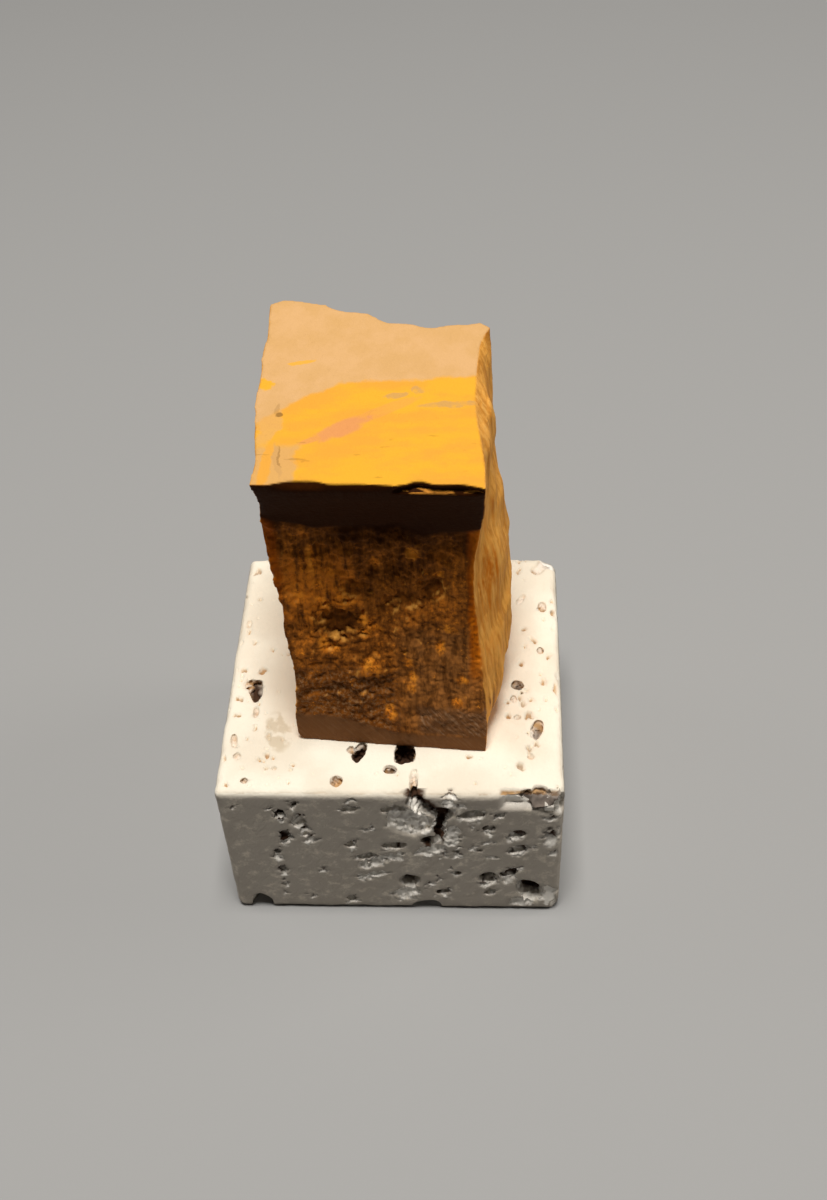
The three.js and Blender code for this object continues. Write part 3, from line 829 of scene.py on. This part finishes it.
# Painted highlights: glints where the fibre ends catch the light, and fine sparks of the same gold.
glint = attribute(place, "glint") * (0.3 + 0.7 * (0.4 * fibres + 0.6 * grain).step(0.42, 0.54))
front_colour = glint.mix(front_colour, fibres.step(0.42, 0.6).mix(HONEY, GLINT_GOLD))
sparks = grain.step(0.64, 0.7) * patches.step(0.46, 0.56)
front_colour = (0.7 * sparks).mix(front_colour, GLINT_GOLD)
# Painted shade in the hollows of the front.
front_colour = (0.7 * attribute(place, "sunken").step(0.1, 0.9)).mix(front_colour, GRAIN_AND_HOLLOW_SHADE_BROWN)

# Painted shadow under the ledge, and amber where the light shines through the thin right and left
# margins.
under_ledge = (z - 50.5 + 9 * cloud).step(0, 4) * (x + 9).step(0, 5)
front_colour = (0.75 * under_ledge).mix(front_colour, LEDGE_AND_SHADOW_BROWN)
right_margin = (x + cloud).step(8.9, 9.6) * (z - 32 + 6 * cloud).step(0, 6)
amber = (0.5 * (x - 9.0) + 1.6 * (fibres - 0.4)).step(0.1, 0.9).mix(DEEP_AMBER, AMBER)
front_colour = (0.9 * right_margin).mix(front_colour, amber)
left_margin = (1.6 * cloud - x - 10.2).step(0, 0.9) * (z - 40).step(0, 8)
front_colour = (0.8 * left_margin).mix(front_colour, DEEP_AMBER)

# The other broken faces are golden. The band and its facet are scratched, and the ledge is painted
# dark brown, partly its own colour and partly shade.
side_colour = (0.5 * fibres + 0.5 * patches).step(0.4, 0.58).mix(SIDE_BROWN, SIDE_GOLD)
side_colour = (0.35 * fibres.step(0.52, 0.7)).mix(side_colour, PALE_GOLD)
side_colour = (0.4 * patches.step(0.55, 0.7)).mix(side_colour, AMBER)
front = attribute(place, "front")
sides = front.mix(side_colour, front_colour)
smooth = attribute(place, "calm") * front
scratched = place.turned(SCRATCH_ANGLE).scaled(1.6, 1, 0.12).noise(2600, 4, 0.6).step(0.46, 0.7)
facet = (x + cloud).step(3.0, 3.8) * (31.0 - z).step(0, 1.2) * (z - 26.4).step(-0.2, 0.2)
band_colour = (0.12 * scratched).mix(BAND_BROWN, SCRATCH)
facet_colour = (0.6 * scratched).mix(BAND_BROWN, SCRATCH)
sides = (smooth * (MIDWAY_UP - z).step(0, 1)).mix(sides, band_colour)
sides = (0.9 * front * facet).mix(sides, facet_colour)
sides = (smooth * (z - MIDWAY_UP).step(0, 1)).mix(sides, LEDGE_AND_SHADOW_BROWN)
# Slivers under the top's right front edge, with painted shadow in the gaps between them.
slivers = place.scaled(0.35, 1, 2.5).noise(1100, 3).step(0.5, 0.6)
sides = attribute(place, "flake").mix(sides, slivers.mix(LEDGE_AND_SHADOW_BROWN, SIDE_BROWN))
link(attribute(place, "top").mix(sides, wall), shader, "Base Color")
bump(shader, fibres + 0.5 * grain + 0.6 * place.noise(900, 5), STONE_RELIEF)
dress(stone, material, STONE)

# Floor, light and camera: a pale sheet, a soft light overhead with a weak one on each side, and a
# camera that looks steeply down on the stone.

FLOOR_SIZE = 3
FLOOR_GREY = paint(158, 158, 158)
bpy.ops.mesh.primitive_plane_add(size=FLOOR_SIZE)
floor = bpy.context.object
floor.name = "floor"
floor_material, floor_shader, _ = new_material("pale_sheet", roughness=0.8, specular=0.1)
floor_shader.inputs["Base Color"].default_value = FLOOR_GREY
floor.data.materials.append(floor_material)

MIDDLE = Vector((0, 0, 0.035))
LAMP_WHITE = (1.0, 0.97, 0.92)
WALL_WHITE = (1.0, 0.95, 0.88)
ROOM_WHITE = (1.0, 0.98, 0.96, 1)
ROOM_LIGHT = 0.02


def soft_light(name, spot, size, power, colour):
    """A square light at a place in metres, aimed at the middle of the object."""
    lamp = bpy.data.lights.new(name, "AREA")
    lamp.size = size
    lamp.energy = power
    lamp.color = colour
    holder = bpy.data.objects.new(name, lamp)
    bpy.context.scene.collection.objects.link(holder)
    holder.location = spot
    holder.rotation_euler = (MIDDLE - holder.location).to_track_quat("-Z", "Y").to_euler()


soft_light("overhead", Vector((0.0, -0.08, 0.75)), size=0.2, power=6.3, colour=LAMP_WHITE)
soft_light("left wall", Vector((-0.6, 0.12, 0.3)), size=0.3, power=0.4, colour=WALL_WHITE)
soft_light("right wall", Vector((0.6, 0.12, 0.3)), size=0.3, power=1.0, colour=WALL_WHITE)
world = bpy.data.worlds.new("room")
world.use_nodes = True
background = world.node_tree.nodes["Background"]
background.inputs["Color"].default_value = ROOM_WHITE
background.inputs["Strength"].default_value = ROOM_LIGHT
bpy.context.scene.world = world
bpy.context.scene.view_settings.view_transform = "Standard"

CAMERA_PLACE = Vector((0.01149, -0.11726, 0.16045))
CAMERA_YAW = math.radians(-4.317)
CAMERA_PITCH = math.radians(46.64)
CAMERA_ROLL = math.radians(-3.08)
CAMERA_LENS = 44.42
SENSOR_WIDTH = 36
NEAREST_SEEN = 0.005
camera = bpy.data.objects.new("camera", bpy.data.cameras.new("camera"))
bpy.context.scene.collection.objects.link(camera)
camera.data.lens = CAMERA_LENS
camera.data.sensor_width = SENSOR_WIDTH
camera.data.clip_start = NEAREST_SEEN
turn = Matrix.Rotation(-CAMERA_YAW, 4, "Z")
tilt = Matrix.Rotation(math.pi / 2 - CAMERA_PITCH, 4, "X")
roll = Matrix.Rotation(CAMERA_ROLL, 4, "Z")
camera.matrix_world = Matrix.Translation(CAMERA_PLACE) @ turn @ tilt @ roll
bpy.context.scene.camera = camera
